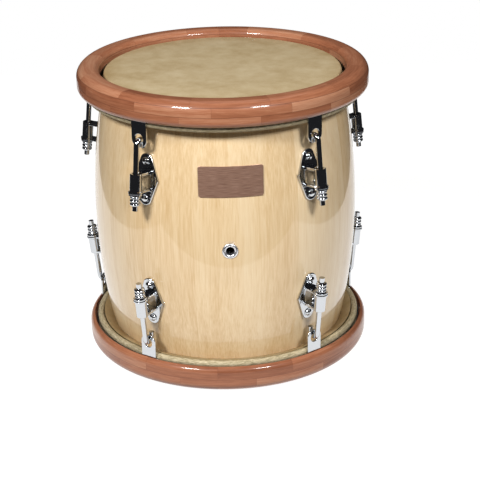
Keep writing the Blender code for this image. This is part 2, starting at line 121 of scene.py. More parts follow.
def add_node(
    tree: Tree, kind: str, links: dict | None = None, **settings: object
) -> Node:
    """Add one shader node.

    Args:
        tree: Its node tree.
        kind: Node type without its "ShaderNode" prefix.
        links: Names or numbers of inputs to values or sockets.
        settings: Attributes of the node.

    Returns:
        The node.
    """
    node = tree.nodes.new(f"ShaderNode{kind}")
    for name, value in settings.items():
        setattr(node, name, value)
    for key, value in (links or {}).items():
        if isinstance(value, Socket):
            tree.links.new(value, node.inputs[key])
        else:
            node.inputs[key].default_value = value
    return node


def calc(tree: Tree, operation: str, *values: float | Socket) -> Socket:
    """Add a Math node.

    Args:
        tree: Its node tree.
        operation: Name of the operation.
        values: Its inputs in order.

    Returns:
        The value output.
    """
    return add_node(tree, "Math", dict(enumerate(values)), operation=operation).outputs[0]


def blend(tree: Tree, patterns: tuple[Socket, ...], shares: tuple[float, ...]) -> Socket:
    """Add patterns up, each by its share.

    Args:
        tree: Its node tree.
        patterns: The patterns.
        shares: Share of each.

    Returns:
        The sum.
    """
    total = 0.0
    for pattern, share in zip(patterns, shares):
        total = calc(tree, "MULTIPLY_ADD", pattern, share, total)
    return total


def ramp(tree: Tree, factor: Socket, stops: list[tuple[float, str]]) -> Socket:
    """Add a colour ramp.

    Args:
        tree: Its node tree.
        factor: Socket that drives it.
        stops: Positions and their sRGB hex colours.

    Returns:
        The colour output.
    """
    node = add_node(tree, "ValToRGB", {"Fac": factor})
    marks = node.color_ramp.elements
    while len(marks) < len(stops):
        marks.new(0.5)
    for mark, (position, code) in zip(marks, stops):
        mark.position = position
        mark.color = linear(code)
    return node.outputs["Color"]


def noise(
    tree: Tree, spot: Socket, size_mm: float, detail: float = 4.0, rough: float = 0.6
) -> Socket:
    """Add a noise texture with a real size.

    Args:
        tree: Its node tree.
        spot: Position in metres.
        size_mm: Size of its main features in millimetres.
        detail: Number of finer layers.
        rough: Strength of the finer layers.

    Returns:
        The factor output.
    """
    links = {"Vector": spot, "Scale": 1 / (size_mm * MM), "Detail": detail, "Roughness": rough}
    return add_node(tree, "TexNoise", links).outputs["Fac"]


def polar(tree: Tree) -> tuple[Socket, Socket, Socket]:
    """Give cylinder coordinates about the drum's axis.

    Args:
        tree: Its node tree.

    Returns:
        Azimuth in turns from the front towards +X, height in metres and radius in metres.
    """
    parts = add_node(tree, "SeparateXYZ", {0: add_node(tree, "TexCoord").outputs["Object"]})
    x, y = parts.outputs["X"], parts.outputs["Y"]
    front = calc(tree, "MULTIPLY", y, -1.0)
    turns = calc(tree, "MULTIPLY", calc(tree, "ARCTAN2", x, front), 1 / tau)
    flat = add_node(tree, "CombineXYZ", {"X": x, "Y": y})
    radius = add_node(tree, "VectorMath", {0: flat.outputs[0]}, operation="LENGTH").outputs["Value"]
    return turns, parts.outputs["Z"], radius


def roughen(tree: Tree, shader: Node, height: Socket, strength: float, depth_mm: float) -> None:
    """Give a shader a bump.

    Args:
        tree: Its node tree.
        shader: Principled shader.
        height: Height pattern.
        strength: Strength of the bump.
        depth_mm: Its real depth in millimetres.
    """
    links = {"Height": height, "Strength": strength, "Distance": depth_mm * MM}
    tree.links.new(add_node(tree, "Bump", links).outputs[0], shader.inputs["Normal"])


@dataclass(frozen=True)
class Finish:
    """A finish: what all of them share."""

    name: str
    pale: str
    rough: float

    def start(self) -> tuple[Material, Tree, Node]:
        """Make a node material with the finish's roughness.

        Returns:
            The material, its node tree and its Principled shader.
        """
        material = bpy.data.materials.new(self.name)
        material.use_nodes = True
        tree = material.node_tree
        shader = tree.nodes["Principled BSDF"]
        shader.inputs["Roughness"].default_value = self.rough
        return material, tree, shader


@dataclass(frozen=True)
class TonedFinish(Finish):
    """A finish whose colour wanders between three tones."""

    mid: str
    dark: str
    stops: Triple

    def tones(self, tree: Tree, pattern: Socket) -> Socket:
        """Colour a pattern from dark to pale.

        Args:
            tree: Its node tree.
            pattern: The pattern.

        Returns:
            The colour output.
        """
        return ramp(tree, pattern, list(zip(self.stops, (self.dark, self.mid, self.pale))))


@dataclass(frozen=True)
class LacqueredStaves(TonedFinish):
    """Pale hardwood staves under clear gloss lacquer.

    To the eye: soft upright grain, a slight change of tint at each stave and a mirror-like skin.
    """

    name: str = "lacquered_staves"
    pale: str = "#f0dab6"
    mid: str = "#e6ca9f"
    dark: str = "#d3b07e"
    rough: float = 0.42
    staves: float = 24.0
    fine_mm: float = 1.5
    streak_mm: float = 11.0
    shares: Triple = (0.48, 0.36, 0.16)
    stops: Triple = (0.30, 0.50, 0.72)
    grain_stretch: float = 0.035
    stave_step: float = 0.37
    mean_r: float = 155.0 * MM
    coat: float = 1.0
    coat_rough: float = 0.05

    def material(self) -> Material:
        """Build the material.

        Returns:
            The material.
        """
        made, tree, shader = self.start()
        turns, height, radius = polar(tree)
        stave = calc(tree, "FLOOR", calc(tree, "MULTIPLY", turns, self.staves))
        along = calc(tree, "MULTIPLY", height, self.grain_stretch)
        along = calc(tree, "MULTIPLY_ADD", stave, self.stave_step, along)
        across = calc(tree, "MULTIPLY", turns, tau * self.mean_r)
        spot = add_node(tree, "CombineXYZ", {"X": across, "Y": along, "Z": radius}).outputs[0]
        fine = noise(tree, spot, self.fine_mm, detail=5.0)
        streak = noise(tree, spot, self.streak_mm, detail=3.0)
        tint = add_node(tree, "TexWhiteNoise", {"W": stave}, noise_dimensions="1D").outputs["Value"]
        tone = blend(tree, (fine, streak, tint), self.shares)
        tree.links.new(self.tones(tree, tone), shader.inputs["Base Color"])
        roughen(tree, shader, fine, strength=0.04, depth_mm=0.15)
        shader.inputs["Coat Weight"].default_value = self.coat
        shader.inputs["Coat Roughness"].default_value = self.coat_rough
        return made


@dataclass(frozen=True)
class LaminatedRimWood(TonedFinish):
    """Reddish hardwood segments, brick-laid in three layers, turned round and lacquered.

    To the eye: long blocks of slightly different red-brown with thin glue lines and a gloss coat.
    """

    name: str = "lacquered_rim"
    pale: str = "#c79474"
    mid: str = "#a4694b"
    dark: str = "#7a452d"
    rough: float = 0.40
    glue: str = "#5c3424"
    segments: float = 12.0
    lines: Pair = (0.1582, 0.1687)
    joints: Triple = (0.60, 0.20, 0.47)
    grain_mm: float = 1.3
    cloud_mm: float = 11.7
    shares: Triple = (0.42, 0.20, 0.38)
    stops: Triple = (0.28, 0.50, 0.76)
    layer_seed: float = 17.3
    grain_stretch: float = 0.07
    block_step: float = 0.31
    seam: float = 0.3 * MM
    joint: float = 0.003
    seam_strength: float = 0.6
    gloss: float = 0.2
    coat: float = 0.5
    coat_rough: float = 0.07

    def material(self) -> Material:
        """Build the material.

        Returns:
            The material.
        """
        made, tree, shader = self.start()
        turns, height, radius = polar(tree)
        low, high = self.lines
        above_low = calc(tree, "GREATER_THAN", height, low)
        above_high = calc(tree, "GREATER_THAN", height, high)
        first, second, third = self.joints
        shift = calc(tree, "MULTIPLY_ADD", above_low, second - first, first)
        shift = calc(tree, "MULTIPLY_ADD", above_high, third - second, shift)
        place = calc(tree, "MULTIPLY_ADD", turns, self.segments, shift)
        layer = calc(tree, "ADD", above_low, above_high)
        seed = calc(tree, "MULTIPLY_ADD", layer, self.layer_seed, calc(tree, "FLOOR", place))
        tint = add_node(tree, "TexWhiteNoise", {"W": seed}, noise_dimensions="1D").outputs["Value"]
        along = calc(tree, "MULTIPLY", seed, self.block_step)
        along = calc(tree, "MULTIPLY_ADD", turns, self.grain_stretch, along)
        spot = add_node(tree, "CombineXYZ", {"X": along, "Y": height, "Z": radius}).outputs[0]
        grain = noise(tree, spot, self.grain_mm, detail=5.0, rough=0.65)
        cloud = noise(tree, spot, self.cloud_mm, detail=2.0)
        wood = self.tones(tree, blend(tree, (grain, tint, cloud), self.shares))
        seams = calc(tree, "COMPARE", height, low, self.seam)
        seams = calc(tree, "MAXIMUM", seams, calc(tree, "COMPARE", height, high, self.seam))
        ends = calc(tree, "COMPARE", calc(tree, "FRACT", place), 0.0, self.joint)
        seams = calc(tree, "MULTIPLY", calc(tree, "MAXIMUM", seams, ends), self.seam_strength)
        mix = add_node(tree, "Mix", {0: seams, 6: wood, 7: linear(self.glue)}, data_type="RGBA")
        tree.links.new(mix.outputs[2], shader.inputs["Base Color"])
        roughen(tree, shader, grain, strength=0.05, depth_mm=0.15)
        shader.inputs["Specular IOR Level"].default_value = self.gloss
        shader.inputs["Coat Weight"].default_value = self.coat
        shader.inputs["Coat Roughness"].default_value = self.coat_rough
        return made


@dataclass(frozen=True)
class Rawhide(TonedFinish):
    """Dried, scraped hide.

    To the eye: a warm khaki with cloudy mottling, fine pores, a dull sheen and a yellower edge.
    """

    name: str = "scraped_rawhide"
    pale: str = "#cfbd99"
    mid: str = "#bfaa83"
    dark: str = "#a68d62"
    rough: float = 0.5
    cloud_mm: float = 30.0
    pore_mm: float = 1.0
    shares: Pair = (0.70, 0.30)
    stops: Triple = (0.28, 0.50, 0.70)
    edge_band: Pair = (0.118, 0.141)
    edge_depth: float = 0.14

    def material(self) -> Material:
        """Build the material.

        Returns:
            The material.
        """
        made, tree, shader = self.start()
        spot = add_node(tree, "TexCoord").outputs["Object"]
        cloud = noise(tree, spot, self.cloud_mm, detail=6.0, rough=0.65)
        pores = noise(tree, spot, self.pore_mm, detail=3.0)
        start, end = self.edge_band
        limits = {"From Min": start, "From Max": end, "To Max": self.edge_depth}
        edge = add_node(tree, "MapRange", {"Value": polar(tree)[2], **limits}).outputs[0]
        tone = calc(tree, "SUBTRACT", blend(tree, (cloud, pores), self.shares), edge)
        tree.links.new(self.tones(tree, tone), shader.inputs["Base Color"])
        roughen(tree, shader, pores, strength=0.2, depth_mm=0.3)
        return made


@dataclass(frozen=True)
class RolledHide(TonedFinish):
    """Hide that dried while rolled over a hoop.

    To the eye: grey-tan strands and creases that run along the roll, with a fibrous nap.
    """

    name: str = "rolled_rawhide"
    pale: str = "#d8cbab"
    mid: str = "#b3a482"
    dark: str = "#776a4b"
    rough: float = 0.75
    strand_mm: float = 1.4
    strand_stretch: float = 0.22
    stops: Triple = (0.30, 0.50, 0.70)

    def material(self) -> Material:
        """Build the material.

        Returns:
            The material.
        """
        made, tree, shader = self.start()
        turns, height, radius = polar(tree)
        along = calc(tree, "MULTIPLY", turns, self.strand_stretch)
        spot = add_node(tree, "CombineXYZ", {"X": along, "Y": height, "Z": radius}).outputs[0]
        strands = noise(tree, spot, self.strand_mm, rough=0.7)
        tree.links.new(self.tones(tree, strands), shader.inputs["Base Color"])
        roughen(tree, shader, strands, strength=0.6, depth_mm=0.6)
        return made


@dataclass(frozen=True)
class PlatedSteel(Finish):
    """Steel with bright plating.

    To the eye: chrome is a mirror with the faint haze of handling, and nickel a soft grey sheen.
    """

    name: str = "chromed_steel"
    pale: str = "#c6c9cd"
    rough: float = 0.05
    haze_rough: float = 0.08
    haze_mm: float = 8.0
    haze_span: Pair = (0.3, 0.8)

    def material(self) -> Material:
        """Build the material.

        Returns:
            The material.
        """
        made, tree, shader = self.start()
        haze = noise(tree, add_node(tree, "TexCoord").outputs["Object"], self.haze_mm)
        start, end = self.haze_span
        most = self.rough + self.haze_rough
        limits = {"From Min": start, "From Max": end, "To Min": self.rough, "To Max": most}
        hazy = add_node(tree, "MapRange", {"Value": haze, **limits}).outputs[0]
        tree.links.new(hazy, shader.inputs["Roughness"])
        shader.inputs["Base Color"].default_value = linear(self.pale)
        shader.inputs["Metallic"].default_value = 1.0
        return made


@dataclass(frozen=True)
class BrushedBronze(TonedFinish):
    """Bronze-toned sheet brushed from end to end.

    To the eye: fine level streaks and a soft wide highlight.
    """

    name: str = "brushed_bronze"
    pale: str = "#cba692"
    mid: str = "#ab8470"
    dark: str = "#805f50"
    rough: float = 0.34
    brush_mm: float = 0.4
    brush_stretch: float = 0.03
    stops: Triple = (0.25, 0.50, 0.75)
    metallic: float = 0.55

    def material(self) -> Material:
        """Build the material.

        Returns:
            The material.
        """
        made, tree, shader = self.start()
        turns, height, _ = polar(tree)
        along = calc(tree, "MULTIPLY", turns, self.brush_stretch)
        spot = add_node(tree, "CombineXYZ", {"X": along, "Y": height}).outputs[0]
        streaks = noise(tree, spot, self.brush_mm, detail=2.0)
        tree.links.new(self.tones(tree, streaks), shader.inputs["Base Color"])
        roughen(tree, shader, streaks, strength=0.08, depth_mm=0.1)
        shader.inputs["Metallic"].default_value = self.metallic
        return made


@dataclass(frozen=True)
class Palette:
    """The finished materials, made once."""

    staves: Material
    rims: dict[End, Material]
    hide: Material
    rolled: Material
    chrome: Material
    nickel: Material
    bronze: Material

    @classmethod
    def make(cls) -> Palette:
        """Build every material.

        Returns:
            The palette.
        """
        top = LaminatedRimWood(name="lacquered_top_rim")
        bottom = LaminatedRimWood(
            name="lacquered_bottom_rim",
            lines=(-top.lines[1], -top.lines[0]),
            joints=(0.20, 0.70, 0.20),
        )
        return cls(
            staves=LacqueredStaves().material(),
            rims={End.TOP: top.material(), End.BOTTOM: bottom.material()},
            hide=Rawhide().material(),
            rolled=RolledHide().material(),
            chrome=PlatedSteel().material(),
            nickel=PlatedSteel(name="satin_nickel", pale="#e4e4e8", rough=0.3).material(),
            bronze=BrushedBronze().material(),
        )


def link_mesh(name: str, bm: Solid, material: Material, sharp: float = 35.0) -> Piece:
    """Turn a bmesh into a shaded object.

    Args:
        name: Object name.
        bm: Mesh data, freed here.
        material: Its finish.
        sharp: Angle in degrees above which an edge stays sharp.

    Returns:
        The linked object.
    """
    bmesh.ops.recalc_face_normals(bm, faces=bm.faces)
    mesh = bpy.data.meshes.new(name)
    bm.to_mesh(mesh)
    bm.free()
    mesh.materials.append(material)
    mesh.shade_smooth()
    mesh.set_sharp_from_angle(angle=radians(sharp))
    made = bpy.data.objects.new(name, mesh)
    bpy.context.scene.collection.objects.link(made)
    return made


def settle(piece: Piece, body: str, node: str | None = None) -> None:
    """Tell the frame what a piece rides on and the node it stands for.

    Args:
        piece: The piece.
        body: Body that it moves with.
        node: CAD node that it replaces.
    """
    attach(piece, body)
    if node is not None:
        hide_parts(node)


def round_edges(piece: Piece, width: float, segments: int = 3) -> None:
    """Round the sharp edges of a piece.

    Args:
        piece: The piece.
        width: Width of the rounding.
        segments: Number of faces across it.
    """
    rounding = piece.modifiers.new("Edge", "BEVEL")
    rounding.width = width
    rounding.segments = segments
    rounding.limit_method = "ANGLE"
    rounding.angle_limit = radians(SHARP_ANGLE)


def cut(piece: Piece, radius: float, depth: float, place: Matrix) -> None:
    """Cut a round hole through a piece and keep the result as its mesh.

    Args:
        piece: The piece.
        radius: Radius of the hole.
        depth: Length of the cutter.
        place: Place of the cutter, whose axis is its Z.
    """
    bm = bmesh.new()
    bmesh.ops.create_cone(
        bm, cap_ends=True, segments=32, radius1=radius, radius2=radius, depth=depth, matrix=place
    )
    cutter = link_mesh("cutter", bm, piece.data.materials[0])
    hole = piece.modifiers.new("Hole", "BOOLEAN")
    hole.object = cutter
    bpy.context.view_layer.update()
    graph = bpy.context.evaluated_depsgraph_get()
    opened = bpy.data.meshes.new_from_object(piece.evaluated_get(graph))
    piece.modifiers.clear()
    piece.data = opened
    bpy.data.objects.remove(cutter)


def lathe(outline: Outline, steps: int, closed: bool = True) -> Solid:
    """Spin an (r, height) outline about Z.

    Args:
        outline: Points of the section.
        steps: Number of faces round the turn.
        closed: Whether the last point joins the first.

    Returns:
        The turned mesh.
    """
    bm = bmesh.new()
    points = [bm.verts.new((0, -r, height)) for r, height in outline]
    edges = [bm.edges.new(pair) for pair in zip(points, points[1:])]
    if closed:
        edges.append(bm.edges.new((points[-1], points[0])))
    bmesh.ops.spin(
        bm, geom=points + edges, cent=(0, 0, 0), axis=(0, 0, 1), angle=tau, steps=steps,
        use_merge=True, use_duplicate=False,
    )
    bmesh.ops.remove_doubles(bm, verts=bm.verts, dist=WELD)
    return bm


def arc(centre: Pair, radius: float, start: float, end: float, steps: int) -> Outline:
    """Give the points of an arc.

    Args:
        centre: Centre of the arc.
        radius: Its radius.
        start: First angle in degrees.
        end: Last angle in degrees.
        steps: Number of spans.

    Returns:
        The points, both ends included.
    """
    angles = [radians(start + (end - start) * step / steps) for step in range(steps + 1)]
    return [(centre[0] + radius * cos(a), centre[1] + radius * sin(a)) for a in angles]


def extrude(bm: Solid, faces: list[bmesh.types.BMFace], reach: Triple) -> None:
    """Extrude faces along a vector.

    Args:
        bm: Mesh that holds them.
        faces: The faces.
        reach: Vector that the far side moves by.
    """
    grown = bmesh.ops.extrude_face_region(bm, geom=faces)["geom"]
    moved = [item for item in grown if isinstance(item, bmesh.types.BMVert)]
    bmesh.ops.translate(bm, verts=moved, vec=reach)


def cut_plate(
    name: str, outline: Outline, hole: Outline, thickness: float, material: Material
) -> Piece:
    """Make a flat plate in the XZ plane, its back on y = 0 and its front at -thickness.

    Args:
        name: Object name.
        outline: Outer (x, z) points.
        hole: Outline of its hole.
        thickness: Plate thickness.
        material: Its finish.

    Returns:
        The plate.
    """
    bm = bmesh.new()
    edges = []
    for loop in (outline, hole):
        ring = [bm.verts.new((x, 0, z)) for x, z in loop]
        edges += [bm.edges.new((ring[i - 1], ring[i])) for i in range(len(ring))]
    filled = bmesh.ops.triangle_fill(bm, use_beauty=True, use_dissolve=True, edges=edges)["geom"]
    faces = [item for item in filled if isinstance(item, bmesh.types.BMFace)]
    extrude(bm, faces, (0, -thickness, 0))
    return link_mesh(name, bm, material)


@dataclass(frozen=True)
class DrumSizes:
    """Sizes that the sub-assemblies share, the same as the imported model's."""

    height: float = 350.0 * MM
    gap: float = 0.3 * MM
    facets: int = 40
    shell_end_r: float = 138.4 * MM
    shell_mid_r: float = 158.2 * MM
    head_recess: float = 8.0 * MM
    skin: float = 1.4 * MM
    rim_height: float = 29.5 * MM
    rim_inner_r: float = 145.03 * MM
    rim_outer_r: float = 172.04 * MM
    lip_r: float = 166.84 * MM
    band_seat_depth: float = 13.0 * MM
    band_inset: float = 0.6 * MM
    band_foot_rise: float = 3.2 * MM
    hoop_steel: float = 2.4 * MM
    roll_r: float = 4.8 * MM
    roll_centre_r: float = 158.13 * MM
    claw_mid_r: float = 164.53 * MM
    claw_length: float = 30.0 * MM
    underside_recess: float = 5.0 * MM
    lug_depth: float = 100.0 * MM
    lug_count: int = 5
    first_lug: float = 36.0

    @property
    def half(self) -> float:
        """Half the drum's height."""
        return self.height / 2

    @property
    def shell_half(self) -> float:
        """Half the shell's length."""
        return self.half - self.head_recess - self.skin - self.gap

    @property
    def foot_u(self) -> float:
        """Height of the wood rim's lower edge."""
        return self.half - self.rim_height

    @property
    def hoop_top_u(self) -> float:
        """Height of the steel hoop's flange."""
        return self.foot_u + self.underside_recess - self.gap

    @property
    def hoop_under_u(self) -> float:
        """Height of the underside of the flange."""
        return self.hoop_top_u - self.hoop_steel

    @property
    def roll_u(self) -> float:
        """Height of the middle of the rolled hide."""
        return self.hoop_under_u - self.gap - self.roll_r

    @property
    def lug_u(self) -> float:
        """Height of a lug's middle."""
        return self.half - self.lug_depth

    @property
    def lean(self) -> float:
        """Lean of the shell and the rod at the lug."""
        bulge = self.shell_mid_r - self.shell_end_r
        return atan(2 * bulge * self.lug_u / self.shell_half**2)

    @property
    def lug_face_r(self) -> float:
        """Radius of the flat that a bracket sits on."""
        return self.shell_r(self.lug_u) * cos(pi / self.facets)

    def shell_r(self, u: float) -> float:
        """Give the shell's outer radius.

        Args:
            u: Height above the drum's middle.

        Returns:
            The radius.
        """
        return self.shell_mid_r - (self.shell_mid_r - self.shell_end_r) * (u / self.shell_half) ** 2

    def azimuths(self) -> list[float]:
        """Give the azimuths of the lugs.

        Returns:
            Angles in radians from the front towards +X.
        """
        step = 360 / self.lug_count
        return [radians(self.first_lug + step * lug) for lug in range(self.lug_count)]

    def lug_place(self, azimuth: float, end: End) -> Matrix:
        """Give the frame of one lug: Z up the shell, -Y straight out, origin on the shell's face.

        Args:
            azimuth: Angle of the lug from the front.
            end: End of the drum.

        Returns:
            The lug's matrix.
        """
        spot = Matrix.Translation((0, -self.lug_face_r, self.lug_u))
        turn = Matrix.Rotation(azimuth, 4, "Z") @ end.turn()
        return turn @ spot @ Matrix.Rotation(-self.lean, 4, "X")


@dataclass(frozen=True)
class Shell:
    """The stave barrel with its vent grommet."""

    sizes: DrumSizes
    palette: Palette
    wall: float = 9.0 * MM
    steps: int = 200
    bands: int = 28
    edge: float = 2.0 * MM
    vent_u: float = -2.0 * MM
    vent_bore_r: float = 4.9 * MM
    vent_tube: float = 1.3 * MM
    vent_flange_r: float = 9.2 * MM
    vent_roll: float = 1.6 * MM

    def outline(self) -> Outline:
        """Give the barrel's section.

        Returns:
            Its points.
        """
        radius, half, bands = self.sizes.shell_r, self.sizes.shell_half, self.bands
        rising = [(half - self.edge) * (2 * band / bands - 1) for band in range(bands + 1)]
        inner_half = half - 2 * self.edge
        falling = [inner_half * (1 - 4 * band / bands) for band in range(bands // 2 + 1)]
        top_r = radius(half - self.edge) - self.edge
        outside = [(radius(u), u) for u in rising]
        inside = [(radius(u) - self.wall, u) for u in falling]
        return [*outside, (top_r, half), *inside, (top_r, -half)]

    def build(self) -> None:
        """Turn the barrel, open its vent and line it with the grommet."""
        face = self.sizes.shell_mid_r
        vent = Matrix.Translation((0, 0, self.vent_u)) @ Matrix.Rotation(pi / 2, 4, "X")
        tube_r = self.vent_bore_r + self.vent_tube
        barrel = link_mesh("stave_barrel", lathe(self.outline(), self.steps), self.palette.staves)
        cut(barrel, tube_r, 4 * self.wall, vent @ Matrix.Translation((0, 0, face)))
        settle(barrel, DRUM, "shell")
        back = face - self.wall - self.vent_roll
        roll_r = (self.vent_flange_r - self.vent_bore_r) / 2
        crown = arc((self.vent_bore_r + roll_r, 0), roll_r, 0, 180, steps=14)
        crown = [(r, face + rise * self.vent_roll / roll_r) for r, rise in crown]
        outline = [(self.vent_bore_r, back), (tube_r, back), (tube_r, face), *crown]
        ring = link_mesh("vent_ring", lathe(outline, steps=48), self.palette.nickel)
        ring.data.transform(vent)
        settle(ring, DRUM, "vent_grommet")


@dataclass(frozen=True)
class FrontPlate:
    """Bare metal plate that is curved to the shell."""

    sizes: DrumSizes
    palette: Palette
    width: float = 73.0 * MM
    tall: float = 35.0 * MM
    u: float = 79.0 * MM
    azimuth: float = 0.9
    thickness: float = 0.9 * MM
    corner: float = 2.4 * MM
    edge: float = 0.25 * MM
    columns: int = 32
    rows: int = 14

    def build(self) -> None:
        """Wrap the sheet round the shell."""
        bm = bmesh.new()
        lines = []
        for row in range(self.rows + 1):
            z = self.tall / 2 * sin(pi * (row / self.rows - 0.5))
            over = max(abs(z) - (self.tall / 2 - self.corner), 0.0)
            inset = self.corner - sqrt(max(self.corner**2 - over**2, 0.0))
            radius = self.sizes.shell_r(self.u + z) + self.sizes.gap
            line = []
            for column in range(self.columns + 1):
                x = (self.width / 2 - inset) * (2 * column / self.columns - 1)
                angle = radians(self.azimuth) + x / radius
                spot = (radius * sin(angle), -radius * cos(angle), self.u + z)
                line.append(bm.verts.new(spot))
            lines.append(line)
        for low, high in zip(lines, lines[1:]):
            for a, b, c, d in zip(low, low[1:], high[1:], high):
                bm.faces.new((a, b, c, d))
        sheet = link_mesh("front_plate", bm, self.palette.bronze)
        thick = sheet.modifiers.new("Thickness", "SOLIDIFY")
        thick.thickness = self.thickness
        thick.offset = 1.0
        round_edges(sheet, self.edge, segments=2)
        settle(sheet, DRUM)


@dataclass(frozen=True)
class Head:
    """Skin head: a taut membrane, its collar and the roll round the flesh hoop."""

    sizes: DrumSizes
    palette: Palette
    end: End
    steps: int = 200
    shoulder_r: float = 3.0 * MM
    shoulder_end: float = 8.0
    collar_drops: Pair = (9.0 * MM, 15.0 * MM)
    tuck_shares: Pair = (0.7, 0.3)
    roll_steps: int = 20

    def build(self) -> None:
        """Turn the skin and its roll."""
        s = self.sizes
        top = s.shell_half + s.gap + s.skin
        edge_r = s.shell_r(s.shell_half) + s.gap + s.skin
        bend = self.shoulder_r
        levels = [*(s.shell_half - drop for drop in self.collar_drops), s.roll_u + s.roll_r / 2]
        shoulder = arc((edge_r - bend, top - bend), bend, 90, self.shoulder_end, steps=6)
        outer = [(0, top), (edge_r / 2, top), *shoulder]
        outer += [(s.shell_r(u) + s.gap + s.skin, u) for u in levels]
        inward, down = self.tuck_shares
        tuck = (s.roll_centre_r - inward * s.roll_r, s.roll_u - down * s.roll_r)
        inner = [(tuck[0], tuck[1] - s.skin)]
        inner += [(s.shell_r(u) + s.gap, u) for u in reversed(levels)]
        inner += [(edge_r - s.skin - bend, top - s.skin), (0, top - s.skin)]
        name = self.end.value
        membrane = lathe([*outer, tuck, *inner], self.steps, closed=False)
        skin = link_mesh(f"{name}_skin", membrane, self.palette.hide, sharp=60)
        slack = ROLL_SLACK[self.end]
        centre = (s.roll_centre_r + slack, s.roll_u + slack)
        last = 360 - 360 / self.roll_steps
        section = arc(centre, s.roll_r - slack, 0, last, self.roll_steps - 1)
        torus = lathe(section, self.steps)
        roll = link_mesh(f"{name}_skin_roll", torus, self.palette.rolled, sharp=80)
        for piece, node in ((skin, f"{name}_head"), (roll, f"{name}_flesh_hoop")):
            piece.data.transform(self.end.turn())
            settle(piece, DRUM, node)


@dataclass(frozen=True)
class Rim:
    """Wood rim with the steel counter hoop and its claws."""

    sizes: DrumSizes
    palette: Palette
    end: End
    steps: int = 216
    crown_outer: float = 12.0 * MM
    crown_inner: float = 8.0 * MM
    foot: float = 7.5 * MM
    claw_width: float = 20.0 * MM
    claw_round: float = 8.5 * MM
    hole_r: float = 5.5 * MM
    hole_margin: float = 4.5 * MM
    hole_steps: int = 24
    claw_edge: float = 0.5 * MM

    def build(self) -> None:
        """Build the rim's pieces."""
        self.build_wood()
        self.build_hoop()
        self.build_claws()

    def build_wood(self) -> None:
        """Turn the wood rim."""
        s = self.sizes
        seat_r = s.rim_inner_r - s.band_inset + s.hoop_steel + s.gap
        seat_u = s.half - s.band_seat_depth
        ledge_u = s.hoop_top_u + s.gap
        outer_centre = (s.rim_outer_r - self.crown_outer, s.half - self.crown_outer)
        outer = arc(outer_centre, self.crown_outer, 0, 90, steps=14)
        inner_centre = (s.rim_inner_r + self.crown_inner, s.half - self.crown_inner)
        inner = arc(inner_centre, self.crown_inner, 90, 180, steps=10)
        lip = degrees(acos((s.lip_r - s.rim_outer_r + self.foot) / self.foot))
        foot_u = s.foot_u - FOOT_REACH[self.end]
        foot_centre = (s.rim_outer_r - self.foot, foot_u + self.foot)
        foot = arc(foot_centre, self.foot, -lip, 0, steps=10)
        recess = [
            (s.rim_inner_r, seat_u), (seat_r, seat_u), (seat_r, ledge_u + s.band_foot_rise),
            (seat_r + s.hoop_steel, ledge_u), (s.lip_r, ledge_u),
        ]
        mesh = lathe([*outer, *inner, *recess, *foot], self.steps)
        rim = link_mesh(f"{self.end.value}_rim_ring", mesh, self.palette.rims[self.end], sharp=50)
        rim.data.transform(self.end.turn())
        settle(rim, self.end.rim(), f"{self.end.value}_wood_rim")

    def build_hoop(self) -> None:
        """Turn the steel hoop that the rim hides."""
        s = self.sizes
        in_r = s.rim_inner_r - s.band_inset
        out_r = in_r + s.hoop_steel
        band_top = s.half - s.band_seat_depth - s.gap
        rise_u = s.hoop_top_u + s.band_foot_rise
        bevel = s.hoop_steel / 3
        outline = [
            (in_r, band_top), (in_r, rise_u - bevel), (out_r + bevel, s.hoop_under_u),
            (s.claw_mid_r, s.hoop_under_u), (s.claw_mid_r, s.hoop_top_u),
            (out_r + s.hoop_steel, s.hoop_top_u), (out_r, rise_u), (out_r, band_top),
        ]
        mesh = lathe(outline, self.steps)
        hoop = link_mesh(f"{self.end.value}_steel_hoop", mesh, self.palette.chrome)
        hoop.data.transform(self.end.turn())
        settle(hoop, self.end.rim(), f"{self.end.value}_counter_hoop")

    def build_claws(self) -> None:
        """Hang a claw with the hook's hole at each lug."""
        s = self.sizes
        half = self.claw_width / 2
        inner = half - self.claw_round
        end_u = s.foot_u - s.claw_length
        left = arc((-inner, end_u + self.claw_round), self.claw_round, 180, 270, steps=8)
        right = arc((inner, end_u + self.claw_round), self.claw_round, 270, 360, steps=8)
        outline = [(-half, s.hoop_top_u), *left, *right, (half, s.hoop_top_u)]
        centre = (0, end_u + self.hole_margin + self.hole_r)
        hole = arc(centre, self.hole_r, 0, 360 - 360 / self.hole_steps, self.hole_steps - 1)
        for number, azimuth in enumerate(s.azimuths(), start=1):
            name = f"{self.end.value}_claw_{number}"
            claw = cut_plate(name, outline, hole, s.hoop_steel, self.palette.chrome)
            claw.data.transform(Matrix.Translation((0, -s.claw_mid_r + s.hoop_steel / 2, 0)))
            claw.matrix_world = Matrix.Rotation(azimuth, 4, "Z") @ self.end.turn()
            round_edges(claw, self.claw_edge)
            settle(claw, self.end.rim())


